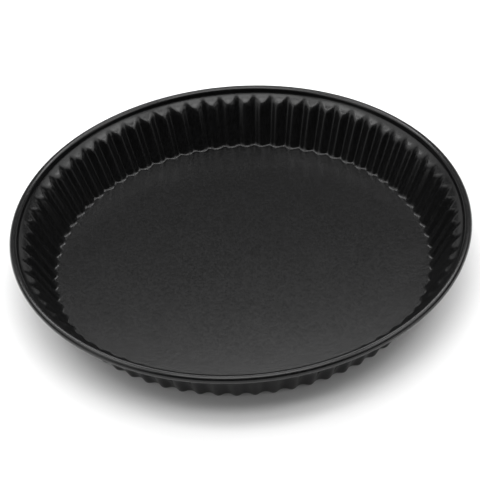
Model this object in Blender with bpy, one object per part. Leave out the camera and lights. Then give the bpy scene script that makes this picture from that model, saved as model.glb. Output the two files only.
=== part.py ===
"""Fluted tart pan: a one-piece drawn steel shell whose rim is curled over a round wire hoop.

Metres, +Z up. The origin is the centre of the underside, so the pan stands on z = 0.
The shell is modelled as its upper (baking) face, and a Solidify modifier adds the sheet below it.
"""

import math

import bmesh
import bpy

# Overall size
RIM_DIAMETER = 0.280  # across the outside of the curled bead
HEIGHT = 0.0363  # from the table to the top of the bead
FLOOR_DIAMETER = 0.2346  # where the mean line of the wall meets the flat floor
SHEET = 0.0006  # steel with its non-stick coat on both sides

# Fluted wall
FLUTES = 71
FOOT_SWING = 0.001  # half the depth of a flute along a radius, at the floor
HEAD_SWING = 0.0012  # the same, where the wall reaches the shoulder
FLUTE_POINT = 0.15  # sharpens the outward crests at the floor, 0 would be a plain cosine
WALL_DRAFT = math.radians(24.2)  # how far the wall leans out from the vertical
FLOOR_BLEND = 0.0026  # height over which the wall rounds into the floor

# Hollow shoulder between the flutes and the bead
SHOULDER_BLEND = 0.0036  # height over which the wall rounds into the shoulder
SHOULDER_INNER_RADIUS = 0.129  # near the tops of the inward ridges
SHOULDER_INNER_SLOPE = math.radians(22)
SHOULDER_OUTER_SLOPE = math.radians(46)  # where it turns up into the throat of the bead

# Curled bead and the wire inside it
BEAD_DIAMETER = 0.0048
CURL_ANGLE = math.radians(312)  # how far the sheet wraps round the wire
THROAT_RADIUS = 0.0022  # hollow curve that turns the shoulder up into the bead
WIRE_DIAMETER = 0.0028

# Fineness of the faceted solids
ROUND_COLUMNS = 72  # rings that have no flutes; a multiple of four keeps the box square
COLUMNS_PER_FLUTE = 4
FLOOR_STEPS = 2
SHOULDER_STEPS = 3
THROAT_STEPS = 2
CURL_STEPS = 10
WIRE_SIDES = 8

# Worked out from the dimensions above
FLOOR_RADIUS = FLOOR_DIAMETER / 2
BEAD_RADIUS = BEAD_DIAMETER / 2
BEAD_CENTRE_RADIUS = RIM_DIAMETER / 2 - BEAD_RADIUS
BEAD_CENTRE_HEIGHT = HEIGHT - BEAD_RADIUS
THROAT_CENTRE_RADIUS = BEAD_CENTRE_RADIUS - BEAD_RADIUS - THROAT_RADIUS
SHOULDER_RADIUS = THROAT_CENTRE_RADIUS + THROAT_RADIUS * math.sin(SHOULDER_OUTER_SLOPE)
SHOULDER_HEIGHT = BEAD_CENTRE_HEIGHT - THROAT_RADIUS * math.cos(SHOULDER_OUTER_SLOPE)
WALL_RISE = 1 / math.tan(WALL_DRAFT)
INNER_RISE = math.tan(SHOULDER_INNER_SLOPE)
OUTER_RISE = math.tan(SHOULDER_OUTER_SLOPE)
PLAIN_FLOOR_RADIUS = FLOOR_RADIUS - 4 * FOOT_SWING


def clear_scene():
    for item in list(bpy.data.objects):
        bpy.data.objects.remove(item, do_unlink=True)


def flute(angle, point):
    """Sideways swing of the wall at an angle round the pan: -1 on a ridge, +1 in a groove."""
    phase = FLUTES * (angle - math.pi / 2) + math.pi
    return math.cos(phase) + point * (math.cos(2 * phase) - 1)


def lower_of(a, b, blend):
    """The smaller of two heights, rounded off where they are within blend of each other."""
    overlap = max(1 - abs(a - b) / blend, 0)
    return min(a, b) - blend / 4 * overlap**2


def upper_of(a, b, blend):
    return -lower_of(-a, -b, blend)


def wall_foot(angle):
    """Radius at which the wall meets the floor."""
    return FLOOR_RADIUS + FOOT_SWING * flute(angle, FLUTE_POINT)


def shoulder_height(radius):
    """A hollow curve: its rise grows evenly from the inner to the outer slope."""
    width = SHOULDER_RADIUS - SHOULDER_INNER_RADIUS
    inner_height = SHOULDER_HEIGHT - width * (INNER_RISE + OUTER_RISE) / 2
    way = radius - SHOULDER_INNER_RADIUS
    curve = (OUTER_RISE - INNER_RISE) * max(way, 0) ** 2 / (2 * width)
    return inner_height + INNER_RISE * way + curve


def upper_face_height(radius, angle):
    """Height of the baking face between the plain floor and the throat of the bead."""
    climb = (radius - FLOOR_RADIUS) * WALL_RISE
    share = min(max(climb / (SHOULDER_HEIGHT - SHEET), 0), 1)
    size = FOOT_SWING + (HEAD_SWING - FOOT_SWING) * share
    swing = size * flute(angle, FLUTE_POINT * (1 - share))
    wall = SHEET + climb - swing * WALL_RISE
    return upper_of(lower_of(wall, shoulder_height(radius), SHOULDER_BLEND), SHEET, FLOOR_BLEND)


def wall_head(angle):
    """Radius at which the wall starts to round into the shoulder."""
    inner_height = shoulder_height(SHOULDER_INNER_RADIUS)
    mean = FLOOR_RADIUS + (inner_height - SHOULDER_BLEND - SHEET) / WALL_RISE
    return mean + HEAD_SWING * flute(angle, 0)


def add_ring(bm, columns, place):
    """A closed ring of vertices; place(angle) gives each one's radius and height."""
    ring = []
    for column in range(columns):
        angle = 2 * math.pi * column / columns
        radius, height = place(angle)
        ring.append(bm.verts.new((radius * math.cos(angle), radius * math.sin(angle), height)))
    return ring


def add_round_ring(bm, radius, height):
    return add_ring(bm, ROUND_COLUMNS, lambda angle: (radius, height))


def add_fluted_ring(bm, place_radius):
    def place(angle):
        radius = place_radius(angle)
        return radius, upper_face_height(radius, angle)

    return add_ring(bm, FLUTES * COLUMNS_PER_FLUTE, place)


def skin_equal(bm, inner, outer):
    count = len(inner)
    for i in range(count):
        j = (i + 1) % count
        bm.faces.new((inner[i], outer[i], outer[j], inner[j]))


def skin_uneven(bm, inner, outer):
    """Triangles between two rings whose columns differ, stepping whichever ring is behind."""
    i = 0
    j = 0
    while i < len(inner) or j < len(outer):
        here = inner[i % len(inner)]
        there = outer[j % len(outer)]
        if (i + 1) * len(outer) <= (j + 1) * len(inner):
            i += 1
            bm.faces.new((here, there, inner[i % len(inner)]))
        else:
            j += 1
            bm.faces.new((here, there, outer[j % len(outer)]))


def skin(bm, inner, outer):
    if len(inner) == len(outer):
        skin_equal(bm, inner, outer)
    else:
        skin_uneven(bm, inner, outer)


def floor_rings(bm):
    """The plain floor's edge, then the fluted rounding up into the wall."""
    rings = [add_round_ring(bm, PLAIN_FLOOR_RADIUS, SHEET)]
    reach = FLOOR_BLEND / WALL_RISE
    for step in range(FLOOR_STEPS + 1):
        offset = reach * (2 * step / FLOOR_STEPS - 1)
        rings.append(add_fluted_ring(bm, lambda angle: wall_foot(angle) + offset))
    return rings


def shoulder_rings(bm):
    """The top of the flutes, rounding over onto the plain shoulder."""
    rings = []
    for step in range(SHOULDER_STEPS):
        share = step / SHOULDER_STEPS

        def place_radius(angle):
            start = wall_head(angle)
            return start + (SHOULDER_RADIUS - start) * share

        rings.append(add_fluted_ring(bm, place_radius))
    rings.append(add_round_ring(bm, SHOULDER_RADIUS, SHOULDER_HEIGHT))
    return rings


def throat_rings(bm):
    """The hollow quarter curve from the shoulder up to the inner side of the bead."""
    rings = []
    start = math.pi / 2 - SHOULDER_OUTER_SLOPE
    for step in range(1, THROAT_STEPS + 1):
        turn = start * (1 - step / THROAT_STEPS)
        radius = THROAT_CENTRE_RADIUS + THROAT_RADIUS * math.cos(turn)
        height = BEAD_CENTRE_HEIGHT - THROAT_RADIUS * math.sin(turn)
        rings.append(add_round_ring(bm, radius, height))
    return rings


def curl_rings(bm):
    """The bead, rolled outwards over the top and back in underneath, with its seam left open."""
    rings = []
    for step in range(1, CURL_STEPS + 1):
        turn = math.pi - CURL_ANGLE * step / CURL_STEPS
        radius = BEAD_CENTRE_RADIUS + BEAD_RADIUS * math.cos(turn)
        height = BEAD_CENTRE_HEIGHT + BEAD_RADIUS * math.sin(turn)
        rings.append(add_round_ring(bm, radius, height))
    return rings


def make_shell():
    bm = bmesh.new()
    rings = floor_rings(bm) + shoulder_rings(bm) + throat_rings(bm) + curl_rings(bm)
    centre = bm.verts.new((0, 0, SHEET))
    first = rings[0]
    for i, vert in enumerate(first):
        bm.faces.new((centre, vert, first[(i + 1) % len(first)]))
    for inner, outer in zip(rings, rings[1:]):
        skin(bm, inner, outer)
    mesh = bpy.data.meshes.new("pan_shell")
    bm.to_mesh(mesh)
    bm.free()
    shell = bpy.data.objects.new("pan_shell", mesh)
    bpy.context.scene.collection.objects.link(shell)
    sheet = shell.modifiers.new("sheet thickness", "SOLIDIFY")
    sheet.thickness = SHEET
    sheet.offset = -1
    sheet.use_even_offset = True
    return shell


def make_rim_wire():
    bpy.ops.mesh.primitive_torus_add(
        major_segments=ROUND_COLUMNS,
        minor_segments=WIRE_SIDES,
        major_radius=BEAD_CENTRE_RADIUS,
        minor_radius=WIRE_DIAMETER / 2,
        location=(0, 0, BEAD_CENTRE_HEIGHT),
    )
    wire = bpy.context.object
    wire.name = "rim_wire"
    wire.data.name = "rim_wire"
    return wire


def make_material(name, colour, roughness, metallic):
    material = bpy.data.materials.new(name)
    material.use_nodes = True
    shader = material.node_tree.nodes["Principled BSDF"]
    shader.inputs["Base Color"].default_value = (*colour, 1)
    shader.inputs["Roughness"].default_value = roughness
    shader.inputs["Metallic"].default_value = metallic
    return material


def finish(piece, material, crease):
    piece.data.materials.append(material)
    piece.data.shade_smooth()
    piece.data.set_sharp_from_angle(angle=math.radians(crease))


def main():
    clear_scene()
    coating = make_material("black_nonstick", (0.012, 0.012, 0.013), 0.42, 0.0)
    steel = make_material("drawn_steel_wire", (0.55, 0.55, 0.56), 0.35, 1.0)
    finish(make_shell(), coating, 40)
    finish(make_rim_wire(), steel, 60)


main()
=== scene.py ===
"""Looks of the fluted tart pan: a fine shell and rim wire with their materials, on a pale floor."""

import math

import bpy
import numpy as np
from mathutils import Euler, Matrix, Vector


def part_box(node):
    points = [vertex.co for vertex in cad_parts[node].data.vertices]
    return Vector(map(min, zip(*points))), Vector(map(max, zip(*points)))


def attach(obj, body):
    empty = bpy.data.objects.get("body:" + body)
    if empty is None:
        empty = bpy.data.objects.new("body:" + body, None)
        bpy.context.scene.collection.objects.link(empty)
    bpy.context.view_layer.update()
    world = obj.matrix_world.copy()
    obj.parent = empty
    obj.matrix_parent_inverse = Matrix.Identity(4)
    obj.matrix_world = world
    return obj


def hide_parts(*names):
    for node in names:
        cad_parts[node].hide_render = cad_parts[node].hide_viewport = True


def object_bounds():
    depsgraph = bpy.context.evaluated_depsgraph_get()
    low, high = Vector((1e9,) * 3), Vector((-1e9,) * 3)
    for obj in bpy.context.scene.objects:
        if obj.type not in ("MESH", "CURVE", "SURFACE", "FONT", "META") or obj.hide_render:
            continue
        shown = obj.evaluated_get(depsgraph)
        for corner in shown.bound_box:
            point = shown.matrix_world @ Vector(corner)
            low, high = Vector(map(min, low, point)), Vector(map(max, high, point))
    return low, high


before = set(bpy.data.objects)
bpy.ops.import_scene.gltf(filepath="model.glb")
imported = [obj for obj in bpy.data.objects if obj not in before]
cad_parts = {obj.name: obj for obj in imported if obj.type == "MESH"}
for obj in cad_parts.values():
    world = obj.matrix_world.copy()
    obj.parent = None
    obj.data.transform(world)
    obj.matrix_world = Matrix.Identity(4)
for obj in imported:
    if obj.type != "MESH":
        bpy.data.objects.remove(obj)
cad_low, cad_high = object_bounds()

# Sizes read from the frame
RIM_RADIUS = cad_high.x
HEIGHT = cad_high.z
wire_low, wire_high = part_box("rim_wire")
BEAD_CENTRE_HEIGHT = (wire_low.z + wire_high.z) / 2
WIRE_RADIUS = (wire_high.z - wire_low.z) / 2
BEAD_RADIUS = HEIGHT - BEAD_CENTRE_HEIGHT
BEAD_CENTRE_RADIUS = RIM_RADIUS - BEAD_RADIUS

# Sizes of the pressed sheet, the same as in the CAD part
SHEET = 0.0006
FLOOR_RADIUS = 0.1173
FLUTES = 71
FOOT_SWING = 0.001
HEAD_SWING = 0.0012
FLUTE_POINT = 0.15
WALL_DRAFT = math.radians(24.2)
FLOOR_BLEND = 0.0026
SHOULDER_BLEND = 0.0036
SHOULDER_INNER_RADIUS = 0.129
SHOULDER_INNER_SLOPE = math.radians(22)
SHOULDER_OUTER_SLOPE = math.radians(46)
CURL_ANGLE = math.radians(312)
THROAT_RADIUS = 0.0022

# Rim wire: the fineness of its section, and the slight ring of the butt weld that closes it
WIRE_SIDES = 16
WELD_WIDTH = math.radians(0.6)
WELD_HEIGHT = 0.0001
WELD_ANGLE = math.radians(250)

# Worked out from the sizes above
PLAIN_FLOOR_RADIUS = FLOOR_RADIUS - 4 * FOOT_SWING
THROAT_CENTRE_RADIUS = BEAD_CENTRE_RADIUS - BEAD_RADIUS - THROAT_RADIUS
SHOULDER_RADIUS = THROAT_CENTRE_RADIUS + THROAT_RADIUS * math.sin(SHOULDER_OUTER_SLOPE)
SHOULDER_HEIGHT = BEAD_CENTRE_HEIGHT - THROAT_RADIUS * math.cos(SHOULDER_OUTER_SLOPE)
WALL_RISE = 1 / math.tan(WALL_DRAFT)
INNER_RISE = math.tan(SHOULDER_INNER_SLOPE)
OUTER_RISE = math.tan(SHOULDER_OUTER_SLOPE)

# Fineness of the final meshes
FINE_COLUMNS = FLUTES * 12
BEAD_COLUMNS = FLUTES * 6
FLOOR_COLUMNS = FLUTES * 2
FILLET_STEPS = 8
WALL_STEPS = 6
SHOULDER_STEPS = 18
THROAT_STEPS = 7
CURL_STEPS = 28
FLOOR_SHARES = (0.25, 0.5, 0.75, 0.94)  # rings of the plain floor, as shares of its radius
FLAT_OFFSETS = (-1.9, -1.25)  # rings just before the floor's rounding, in half widths of it

# The camera: the point it looks at, the side and height it looks from, and the lean of the picture
CAMERA_AIM = Vector((-0.0008, -0.0047, 0.018))
CAMERA_AZIMUTH = math.radians(-0.63)
CAMERA_ELEVATION = math.radians(40.12)
CAMERA_DISTANCE = 0.8033
CAMERA_ROLL = math.radians(4.41)
LENS_MM = 98.05
CAMERA_CLIP = 20  # metres, past the far corners of the floor

# Coating: its colours, and how far the flecks and the rubbing show
COAT_DARK = (0.002, 0.002, 0.002, 1)
COAT_LIGHT = (0.0038, 0.0038, 0.004, 1)
FLECK_COLOUR = (0.03, 0.03, 0.031, 1)
FLECK_SHARE = 0.03
RUBBED_COLOUR = (0.02, 0.02, 0.0205, 1)
RUBBED_SHARE = 0.5

# Coating: its gloss, and how far the clouds, the grain and the rubbing shift its roughness
COAT_IOR = 1.38  # a fluoropolymer coat, duller than paint
COAT_ROUGHNESS = 0.24
CLOUD_SHIFT = (-0.005, 0.01)
GRAIN_SHIFT = (-0.0145, 0.0145)
RUBBED_SHIFT = -0.05

# Coating: how many of each feature there are in a metre, and the height of the two that stand up
GRAINS = 700
PEEL_WAVES = 300
CLOUDS = 30
FLECKS = 650
FLECK_PATCHES = 270
RUBBED_PATCHES = 120
PEEL_HEIGHT = 0.00002
GRAIN_HEIGHT = 0.00001

# Coating: the size of a fleck, from sparse to dense patches, as a share of the gap between flecks
FLECK_SIZE = (0.1, 0.3)

# The stretch of a noise's values that goes from no effect to the full one
NOISE_SPAN = (0.3, 0.7)
GRAIN_COLOUR_SPAN = (0.35, 0.65)
FLECK_SPAN = (0.35, 0.7)
RUBBED_SPAN = (0.42, 0.68)
EDGE_SPAN = (0.51, 0.56)  # of pointiness, which is 0.5 where the surface is flat

# Rim wire: bright and dull patches, and a fine roughness
WIRE_DARK = (0.42, 0.42, 0.43, 1)
WIRE_LIGHT = (0.6, 0.6, 0.6, 1)
WIRE_ROUGHNESS = (0.28, 0.46)
WIRE_PATCHES = 160
WIRE_MARKS = 5000
WIRE_MARK_HEIGHT = 0.000006

# Floor: a matt light table with a faint glow near the pan, and a stronger one in the distance
FLOOR_REACH = 12
FLOOR_DARK = (0.7, 0.7, 0.7, 1)
FLOOR_LIGHT = (0.73, 0.73, 0.73, 1)
FLOOR_PATCHES = 6
FLOOR_ROUGHNESS = 0.9
FLOOR_GLOW = (0.05, 0.9)
GLOW_SPAN = (0.9, 2.2)  # distance from the pan over which the glow grows

# Studio: how far the softboxes stand, and how much brighter they are for a dull coat
SOFTBOX_DISTANCE = 1.6
COAT_DIMNESS = 1.57

# Each softbox: its name, azimuth and elevation in degrees, width, depth and radiance
SOFTBOXES = (
    ("softbox_right", 90, 43, 2.08, 0.62, 1.4),
    ("softbox_right_high", 90, 58, 0.8, 0.308, 4.1),
    ("softbox_left", 270, 43, 2.08, 0.62, 1.1),
    ("softbox_left_low", 270, 28, 2.66, 0.308, 0.65),
    ("softbox_left_high", 270, 58, 0.8, 0.308, 4.5),
    ("softbox_back", 180, 38, 2.28, 0.887, 0.12),
    ("softbox_back_strip", 180, 58, 2.28, 0.308, 5.8),
    ("softbox_top", 0, 86, 1.1, 0.42, 4.7),
    ("softbox_front_strip", 0, 68, 1.49, 0.35, 3.9),
    ("softbox_front", 0, 50, 2.3, 0.5, 0.03),
    ("softbox_front_left_low", 294, 9, 0.4, 0.45, 0.8),
    ("softbox_front_right_low", 72, 10, 0.4, 0.45, 0.55),
    ("softbox_back_right", 143, 8, 1.3, 0.5, 0.45),
    ("softbox_back_left", 217, 8, 1.3, 0.5, 0.45),
)


def flute(angle, point):
    """Sideways swing of the wall round the pan: -1 on a ridge, +1 in a groove."""
    phase = FLUTES * (angle - math.pi / 2) + math.pi
    return np.cos(phase) + point * (np.cos(2 * phase) - 1)


def lower_of(a, b, blend):
    """The smaller of two heights, rounded off where they are within blend of each other."""
    overlap = np.maximum(1 - np.abs(a - b) / blend, 0)
    return np.minimum(a, b) - blend / 4 * overlap**2


def upper_of(a, b, blend):
    return -lower_of(-a, -b, blend)


def wall_foot(angle):
    """Radius at which the wall meets the floor."""
    return FLOOR_RADIUS + FOOT_SWING * flute(angle, FLUTE_POINT)


def shoulder_height(radius):
    """A hollow curve: its rise grows evenly from the inner to the outer slope."""
    width = SHOULDER_RADIUS - SHOULDER_INNER_RADIUS
    inner_height = SHOULDER_HEIGHT - width * (INNER_RISE + OUTER_RISE) / 2
    way = radius - SHOULDER_INNER_RADIUS
    curve = (OUTER_RISE - INNER_RISE) * np.maximum(way, 0) ** 2 / (2 * width)
    return inner_height + INNER_RISE * way + curve


def upper_face_height(radius, angle):
    """Height of the baking face between the plain floor and the throat of the bead."""
    climb = (radius - FLOOR_RADIUS) * WALL_RISE
    share = np.clip(climb / (SHOULDER_HEIGHT - SHEET), 0, 1)
    size = FOOT_SWING + (HEAD_SWING - FOOT_SWING) * share
    swing = size * flute(angle, FLUTE_POINT * (1 - share))
    wall = SHEET + climb - swing * WALL_RISE
    return upper_of(lower_of(wall, shoulder_height(radius), SHOULDER_BLEND), SHEET, FLOOR_BLEND)


def wall_head(angle):
    """Radius at which the wall starts to round into the shoulder."""
    inner_height = shoulder_height(SHOULDER_INNER_RADIUS)
    mean = FLOOR_RADIUS + (inner_height - SHOULDER_BLEND - SHEET) / WALL_RISE
    return mean + HEAD_SWING * flute(angle, 0)


class Skin:
    """Collects rings of points and the faces between them."""

    def __init__(self):
        self.points = []
        self.faces = []

    def ring(self, angles, radius, height):
        """Adds a ring and returns its point numbers."""
        first = len(self.points)
        radius = np.broadcast_to(radius, angles.shape)
        height = np.broadcast_to(height, angles.shape)
        points = np.stack([radius * np.cos(angles), radius * np.sin(angles), height], 1)
        self.points.extend(points.tolist())
        return list(range(first, first + len(angles)))

    def plain_ring(self, columns, radius, height):
        return self.ring(round_angles(columns), radius, height)

    def fluted_ring(self, radius):
        angles = round_angles(FINE_COLUMNS)
        return self.ring(angles, radius, upper_face_height(radius, angles))

    def join(self, inner, outer):
        """Faces between two rings; one may have several columns for each of the other's."""
        if len(inner) == len(outer):
            after = inner[1:] + inner[:1]
            beyond = outer[1:] + outer[:1]
            self.faces.extend(zip(inner, outer, beyond, after))
        elif len(inner) < len(outer):
            self.faces.extend(stepped_faces(inner, outer))
        else:
            self.faces.extend(face[::-1] for face in stepped_faces(outer, inner))

    def close(self, centre_height, ring):
        """Fills a ring with a fan from its centre."""
        self.points.append([0, 0, centre_height])
        centre = len(self.points) - 1
        for here, after in zip(ring, ring[1:] + ring[:1]):
            self.faces.append((centre, here, after))

    def to_object(self, name):
        mesh = bpy.data.meshes.new(name)
        mesh.from_pydata(self.points, [], self.faces)
        mesh.shade_smooth()
        made = bpy.data.objects.new(name, mesh)
        bpy.context.scene.collection.objects.link(made)
        return made


def round_angles(columns):
    return np.arange(columns) * 2 * math.pi / columns


def stepped_faces(coarse, fine):
    """Faces from a coarse inner ring out to a finer ring."""
    share = len(fine) // len(coarse)
    faces = []
    for i, here in enumerate(coarse):
        beyond = coarse[(i + 1) % len(coarse)]
        fan = [fine[(i * share + k) % len(fine)] for k in range(share + 1)]
        middle = share // 2
        faces += [(here, fan[k], fan[k + 1]) for k in range(middle)]
        faces.append((here, fan[middle], beyond))
        faces += [(beyond, fan[k], fan[k + 1]) for k in range(middle, share)]
    return faces


def floor_rings(skin):
    """The flat floor, out to the start of the rounding into the wall."""
    rings = []
    for share in FLOOR_SHARES:
        rings.append(skin.plain_ring(FLOOR_COLUMNS, PLAIN_FLOOR_RADIUS * share, SHEET))
    rings.append(skin.plain_ring(BEAD_COLUMNS, PLAIN_FLOOR_RADIUS, SHEET))
    return rings


def fillet_rings(skin):
    """The fluted rounding from the floor up into the wall, with two flat rings before it."""
    foot = wall_foot(round_angles(FINE_COLUMNS))
    reach = FLOOR_BLEND / WALL_RISE
    offsets = [*FLAT_OFFSETS, *np.linspace(-1, 1, FILLET_STEPS + 1)]
    return [skin.fluted_ring(foot + reach * offset) for offset in offsets]


def wall_rings(skin):
    """The straight part of the wall."""
    angles = round_angles(FINE_COLUMNS)
    start = wall_foot(angles) + FLOOR_BLEND / WALL_RISE
    end = wall_head(angles)
    shares = np.linspace(0, 1, WALL_STEPS + 1)[1:-1]
    return [skin.fluted_ring(start + (end - start) * share) for share in shares]


def shoulder_rings(skin):
    """The tops of the flutes, rounding over onto the plain shoulder."""
    start = wall_head(round_angles(FINE_COLUMNS))
    shares = np.linspace(0, 1, SHOULDER_STEPS + 1)[:-1]
    rings = [skin.fluted_ring(start + (SHOULDER_RADIUS - start) * share) for share in shares]
    rings.append(skin.plain_ring(BEAD_COLUMNS, SHOULDER_RADIUS, SHOULDER_HEIGHT))
    return rings


def throat_rings(skin):
    """The hollow curve from the shoulder up to the inner side of the bead."""
    rings = []
    for turn in np.linspace(math.pi / 2 - SHOULDER_OUTER_SLOPE, 0, THROAT_STEPS + 1)[1:]:
        radius = THROAT_CENTRE_RADIUS + THROAT_RADIUS * math.cos(turn)
        height = BEAD_CENTRE_HEIGHT - THROAT_RADIUS * math.sin(turn)
        rings.append(skin.plain_ring(BEAD_COLUMNS, radius, height))
    return rings


def curl_rings(skin):
    """The bead, rolled outwards over the top and back in underneath."""
    rings = []
    for turn in np.linspace(math.pi, math.pi - CURL_ANGLE, CURL_STEPS + 1)[1:]:
        radius = BEAD_CENTRE_RADIUS + BEAD_RADIUS * math.cos(turn)
        height = BEAD_CENTRE_HEIGHT + BEAD_RADIUS * math.sin(turn)
        rings.append(skin.plain_ring(BEAD_COLUMNS, radius, height))
    return rings


def make_shell():
    """The pressed sheet: its baking face from rings, and its thickness below."""
    skin = Skin()
    rings = floor_rings(skin) + fillet_rings(skin) + wall_rings(skin) + shoulder_rings(skin)
    rings += throat_rings(skin) + curl_rings(skin)
    skin.close(SHEET, rings[0])
    for inner, outer in zip(rings, rings[1:]):
        skin.join(inner, outer)
    shell = skin.to_object("coated_shell")
    sheet = shell.modifiers.new("sheet thickness", "SOLIDIFY")
    sheet.thickness = SHEET
    sheet.offset = -1
    sheet.use_even_offset = True
    return shell


def make_rim_wire():
    """The hoop inside the bead, with the slight ring that a butt weld leaves at its joint."""
    skin = Skin()
    angles = round_angles(BEAD_COLUMNS)
    weld = WELD_HEIGHT * np.exp(-(((angles - WELD_ANGLE) / WELD_WIDTH) ** 2))
    rings = []
    for turn in round_angles(WIRE_SIDES):
        radius = BEAD_CENTRE_RADIUS + (WIRE_RADIUS + weld) * math.cos(turn)
        height = BEAD_CENTRE_HEIGHT + (WIRE_RADIUS + weld) * math.sin(turn)
        rings.append(skin.ring(angles, radius, height))
    for inner, outer in zip(rings, rings[1:] + rings[:1]):
        skin.join(outer, inner)
    return skin.to_object("hoop_wire")


class NodeBuilder:
    """Short calls that add shader nodes to a material and link them."""

    def __init__(self, name):
        self.material = bpy.data.materials.new(name)
        self.material.use_nodes = True
        self.tree = self.material.node_tree
        self.shader = self.tree.nodes["Principled BSDF"]

    def add(self, kind, inputs=None, **settings):
        """Adds a node; an input is a plain value or another node's output."""
        node = self.tree.nodes.new(kind)
        for name, value in settings.items():
            setattr(node, name, value)
        for name, value in (inputs or {}).items():
            self.feed(node.inputs[name], value)
        return node

    def feed(self, socket, value):
        if isinstance(value, bpy.types.NodeSocket):
            self.tree.links.new(value, socket)
        else:
            socket.default_value = value

    def place(self):
        """Position on the piece, in metres."""
        return self.add("ShaderNodeTexCoord").outputs["Object"]

    def noise(self, where, grains_per_metre, detail=2.0, roughness=0.5):
        inputs = {
            "Vector": where,
            "Scale": grains_per_metre,
            "Detail": detail,
            "Roughness": roughness,
        }
        return self.add("ShaderNodeTexNoise", inputs).outputs["Fac"]

    def cells(self, where, cells_per_metre):
        """Distance to the nearest of a set of scattered points, 0 at a point."""
        inputs = {"Vector": where, "Scale": cells_per_metre}
        return self.add("ShaderNodeTexVoronoi", inputs).outputs["Distance"]

    def spread(self, value, span, onto=(0.0, 1.0)):
        """Maps one range of values onto another, and holds the ends."""
        inputs = {
            "Value": value,
            "From Min": span[0],
            "From Max": span[1],
            "To Min": onto[0],
            "To Max": onto[1],
        }
        return self.add("ShaderNodeMapRange", inputs).outputs["Result"]

    def math(self, operation, first, second):
        node = self.add("ShaderNodeMath", operation=operation)
        self.feed(node.inputs[0], first)
        self.feed(node.inputs[1], second)
        return node.outputs["Value"]

    def blend(self, share, first, second):
        """Mixes two colours."""
        node = self.add("ShaderNodeMix", data_type="RGBA")
        self.feed(node.inputs["Factor"], share)
        self.feed(node.inputs["A"], first)
        self.feed(node.inputs["B"], second)
        return node.outputs["Result"]

    def relief(self, height, metres, under=None):
        """Bumps the surface by a height map whose full range is so many metres."""
        node = self.add("ShaderNodeBump", {"Height": height, "Distance": metres, "Strength": 1.0})
        if under is not None:
            self.feed(node.inputs["Normal"], under)
        return node.outputs["Normal"]


def fleck_mask(make, where):
    """Small scattered flecks of pigment, in sparse and dense patches."""
    size = make.spread(make.noise(where, FLECK_PATCHES), FLECK_SPAN, FLECK_SIZE)
    return make.math("LESS_THAN", make.cells(where, FLECKS), size)


def rubbed_mask(make, where):
    """Edges that a hand or a shelf rubs: the bead's crest and the ridges, in patches."""
    pointiness = make.add("ShaderNodeNewGeometry").outputs["Pointiness"]
    edge = make.spread(pointiness, EDGE_SPAN)
    patchy = make.spread(make.noise(where, RUBBED_PATCHES, detail=5.0), RUBBED_SPAN)
    return make.math("MULTIPLY", edge, patchy)


def coating_material():
    """Black non-stick: a satin coat with a fine orange peel, faint flecks and rubbed edges."""
    make = NodeBuilder("black_nonstick")
    where = make.place()
    grain = make.noise(where, GRAINS, detail=0.0)
    peel = make.noise(where, PEEL_WAVES, detail=2.0)
    cloud = make.noise(where, CLOUDS, detail=4.0, roughness=0.55)
    fleck = fleck_mask(make, where)
    rubbed = rubbed_mask(make, where)

    plain = make.blend(make.spread(grain, GRAIN_COLOUR_SPAN), COAT_DARK, COAT_LIGHT)
    flecked = make.blend(make.math("MULTIPLY", fleck, FLECK_SHARE), plain, FLECK_COLOUR)
    worn = make.blend(make.math("MULTIPLY", rubbed, RUBBED_SHARE), flecked, RUBBED_COLOUR)
    make.feed(make.shader.inputs["Base Color"], worn)
    make.shader.inputs["IOR"].default_value = COAT_IOR

    cloud_range = [COAT_ROUGHNESS + shift for shift in CLOUD_SHIFT]
    clouded = make.spread(cloud, NOISE_SPAN, cloud_range)
    grained = make.math("ADD", clouded, make.spread(grain, NOISE_SPAN, GRAIN_SHIFT))
    polished = make.math("ADD", grained, make.math("MULTIPLY", rubbed, RUBBED_SHIFT))
    make.feed(make.shader.inputs["Roughness"], polished)

    peeled = make.relief(peel, PEEL_HEIGHT)
    make.feed(make.shader.inputs["Normal"], make.relief(grain, GRAIN_HEIGHT, peeled))
    return make.material


def wire_material():
    """Bright drawn wire, a little rough and patchy."""
    make = NodeBuilder("drawn_wire")
    where = make.place()
    patches = make.noise(where, WIRE_PATCHES, detail=4.0)
    marks = make.noise(where, WIRE_MARKS, detail=2.0)
    make.feed(make.shader.inputs["Base Color"], make.blend(patches, WIRE_DARK, WIRE_LIGHT))
    roughness = make.spread(patches, NOISE_SPAN, WIRE_ROUGHNESS)
    make.feed(make.shader.inputs["Roughness"], roughness)
    make.feed(make.shader.inputs["Normal"], make.relief(marks, WIRE_MARK_HEIGHT))
    make.shader.inputs["Metallic"].default_value = 1
    return make.material


def floor_material():
    """A matt pale table top, barely uneven, that glows more in the distance."""
    make = NodeBuilder("pale_floor")
    where = make.place()
    shade = make.noise(where, FLOOR_PATCHES, detail=2.0)
    make.feed(make.shader.inputs["Base Color"], make.blend(shade, FLOOR_DARK, FLOOR_LIGHT))
    make.shader.inputs["Roughness"].default_value = FLOOR_ROUGHNESS
    make.shader.inputs["Specular IOR Level"].default_value = 0
    make.shader.inputs["Emission Color"].default_value = (1, 1, 1, 1)
    away = make.add("ShaderNodeVectorMath", {"Vector": where}, operation="LENGTH")
    glow = make.spread(away.outputs["Value"], GLOW_SPAN, FLOOR_GLOW)
    make.feed(make.shader.inputs["Emission Strength"], glow)
    return make.material


def make_floor():
    mesh = bpy.data.meshes.new("studio_floor")
    reach = FLOOR_REACH
    corners = [(-reach, -reach, 0), (reach, -reach, 0), (reach, reach, 0), (-reach, reach, 0)]
    mesh.from_pydata(corners, [], [(0, 1, 2, 3)])
    mesh.materials.append(floor_material())
    floor = bpy.data.objects.new("studio_floor", mesh)
    bpy.context.scene.collection.objects.link(floor)


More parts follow.
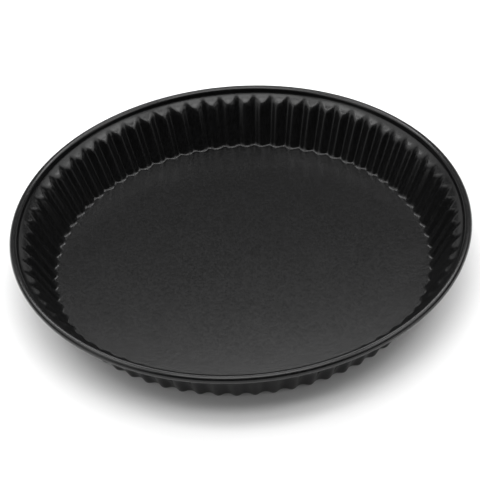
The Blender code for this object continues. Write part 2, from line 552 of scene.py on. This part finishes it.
def direction(azimuth, elevation):
    """Unit vector from the pan: azimuth 0 is the camera's side, a quarter turn is +X."""
    level = math.cos(elevation)
    return Vector((level * math.sin(azimuth), -level * math.cos(azimuth), math.sin(elevation)))


def make_camera():
    data = bpy.data.cameras.new("camera")
    data.lens = LENS_MM
    data.clip_end = CAMERA_CLIP
    camera = bpy.data.objects.new("camera", data)
    bpy.context.scene.collection.objects.link(camera)
    away = direction(CAMERA_AZIMUTH, CAMERA_ELEVATION)
    camera.location = CAMERA_AIM + away * CAMERA_DISTANCE
    look = (-away).to_track_quat("-Z", "Y")
    camera.rotation_euler = (look.to_matrix() @ Euler((0, 0, -CAMERA_ROLL)).to_matrix()).to_euler()
    bpy.context.scene.camera = camera


def add_softbox(name, azimuth, elevation, width, depth, radiance):
    """A rectangular light that faces the pan; its radiance is for a coat of ordinary gloss."""
    data = bpy.data.lights.new(name, "AREA")
    data.shape = "RECTANGLE"
    data.size = width
    data.size_y = depth
    data.energy = radiance * COAT_DIMNESS * math.pi * width * depth
    light = bpy.data.objects.new(name, data)
    bpy.context.scene.collection.objects.link(light)
    away = direction(math.radians(azimuth), math.radians(elevation))
    light.location = away * SOFTBOX_DISTANCE
    light.rotation_euler = (-away).to_track_quat("-Z", "Y").to_euler()


def make_world():
    """White where the camera looks past the floor, and black in every reflection."""
    world = bpy.data.worlds.new("studio")
    world.use_nodes = True
    tree = world.node_tree
    background = tree.nodes["Background"]
    background.inputs["Color"].default_value = (1, 1, 1, 1)
    seen = tree.nodes.new("ShaderNodeLightPath").outputs["Is Camera Ray"]
    tree.links.new(seen, background.inputs["Strength"])
    bpy.context.scene.world = world


def make_lights():
    """Softboxes round and over the pan, placed to give the bright and dark parts of the photo."""
    for softbox in SOFTBOXES:
        add_softbox(*softbox)


def dress(piece, material, node):
    piece.data.materials.append(material)
    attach(piece, "root")
    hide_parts(node)


make_camera()
dress(make_shell(), coating_material(), "pan_shell")
dress(make_rim_wire(), wire_material(), "rim_wire")
make_floor()
make_world()
make_lights()
bpy.context.scene.view_settings.view_transform = "Standard"
